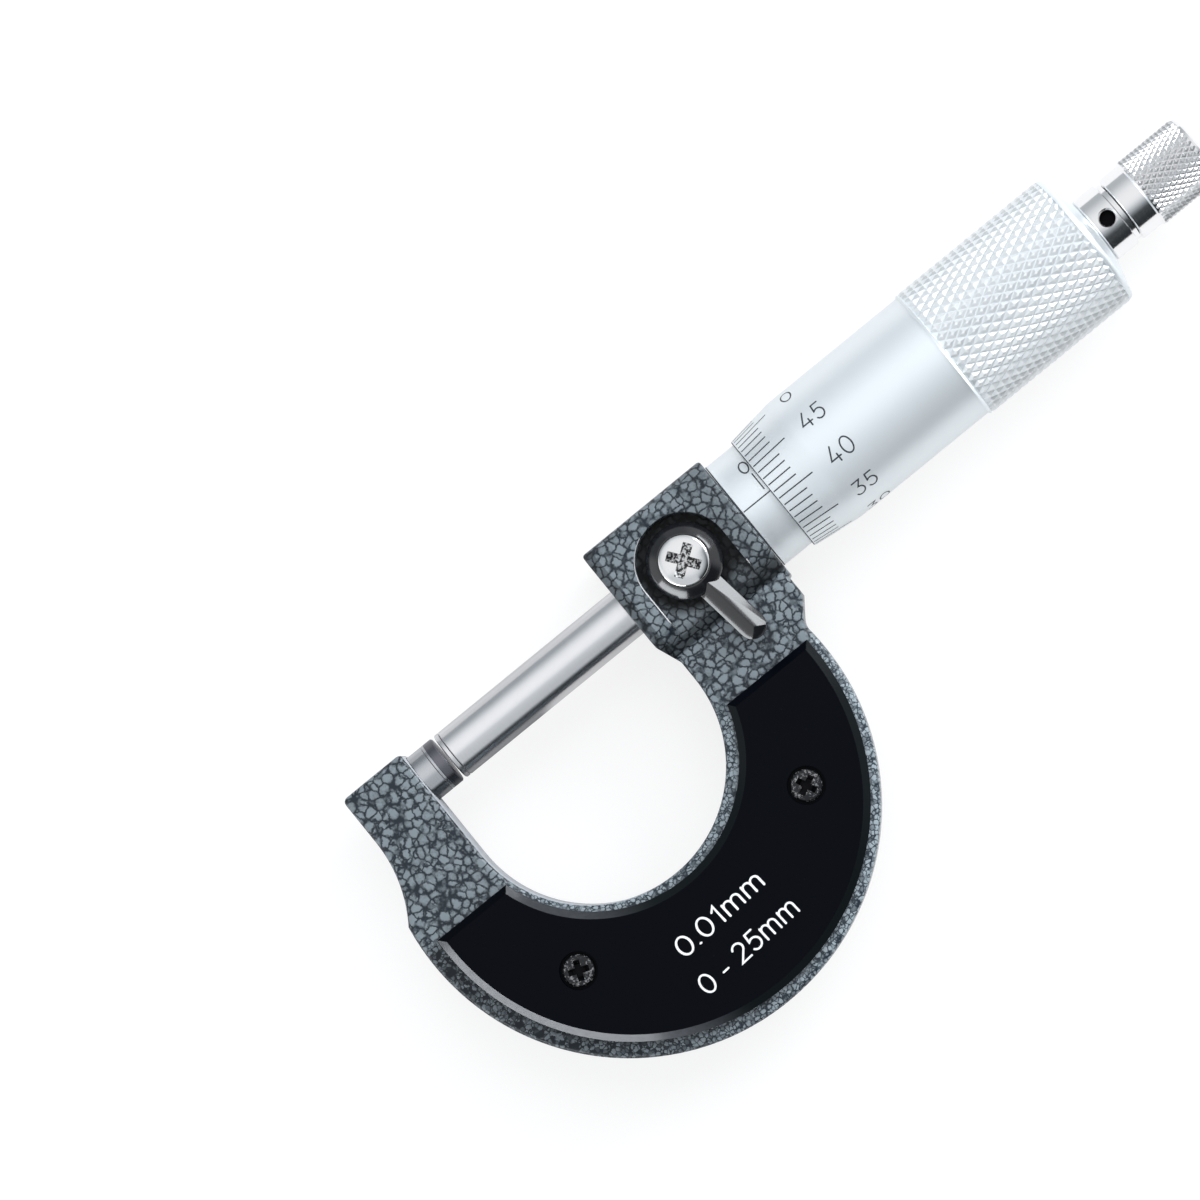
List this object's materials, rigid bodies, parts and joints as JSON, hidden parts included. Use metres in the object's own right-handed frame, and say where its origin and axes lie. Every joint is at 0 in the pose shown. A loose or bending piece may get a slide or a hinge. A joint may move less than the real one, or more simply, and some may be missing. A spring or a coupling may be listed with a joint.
{
  "type": "outside micrometer",
  "caption": "Outside micrometer with a round-bowed frame, graduated sleeve and thimble, ratchet stop, lever lock and black grip plates.",
  "frame": {"origin": "bottom centre of the bounding box: the micrometer lies on its back, lowest at the thimble's knurl", "axes": "+X along the measuring axis from the anvil to the ratchet, +Z out of the front face with the lock lever, -Y towards the frame's bow"},
  "size_m": [0.1356, 0.0588, 0.0187],
  "materials": {
    "hammer_paint": "hammer-finish blue-grey paint, light blobs on dark veins",
    "steel": "ground steel",
    "carbide": "lapped carbide",
    "satin_chrome": "satin chrome plate",
    "bright_chrome": "bright chrome plate",
    "black_plate": "glossy black moulding",
    "black_steel": "blackened screw",
    "black_paint": "glossy black paint",
    "brass": "turned brass"
  },
  "bodies": {
    "frame_set": {"frame": "hammer_paint", "anvil": "steel", "anvil_tip": "carbide", "screw_sleeve": "steel", "graduated_sleeve": "satin_chrome", "adjusting_nut": "steel", "front_plate": "black_plate", "rear_plate": "black_plate", "front_screw_left": "black_steel", "front_screw_right": "black_steel", "rear_screw_left": "black_steel", "rear_screw_right": "black_steel"},
    "screw_travel": {"spindle_tip": "carbide"},
    "spindle_set": {"spindle": "steel", "thimble": "satin_chrome", "ratchet_body": "bright_chrome", "ratchet_spring": "steel", "ratchet_clutch": "steel", "ratchet_screw": "bright_chrome"},
    "ratchet_grip": {"ratchet_knob": "satin_chrome"},
    "lock_travel": {"lock_pad": "brass"},
    "lock_set": {"lock_stud": "steel", "lock_lever": "black_paint", "lock_screw": "bright_chrome"}
  },
  "joints": [
    {"name": "spindle_slide", "type": "slide", "parent": "frame_set", "child": "screw_travel", "axis": [1, 0, 0], "range_m": [-0.0004, 0.02459]},
    {"name": "thimble_turn", "type": "hinge", "parent": "screw_travel", "child": "spindle_set", "pos_m": [-0.05088, 0.02009, 0.00932], "axis": [1, 0, 0], "range_deg": [-288.1, 17702]},
    {"name": "ratchet_turn", "type": "hinge", "parent": "spindle_set", "child": "ratchet_grip", "pos_m": [0.05573, 0.02009, 0.00932], "axis": [1, 0, 0], "continuous": true},
    {"name": "lock_slide", "type": "slide", "parent": "frame_set", "child": "lock_travel", "axis": [0, 0, 1], "range_m": [-0.000078, 0.0000466]},
    {"name": "lock_turn", "type": "hinge", "parent": "lock_travel", "child": "lock_set", "pos_m": [-0.01278, 0.02009, 0.01533], "axis": [0, 0, 1], "range_deg": [-37.6, 22.4]}
  ],
  "couplings": [
    {"joint": "thimble_turn", "follows": "spindle_slide", "rad_per_m": 12566},
    {"joint": "lock_turn", "follows": "lock_slide", "rad_per_m": 8377.6}
  ]
}
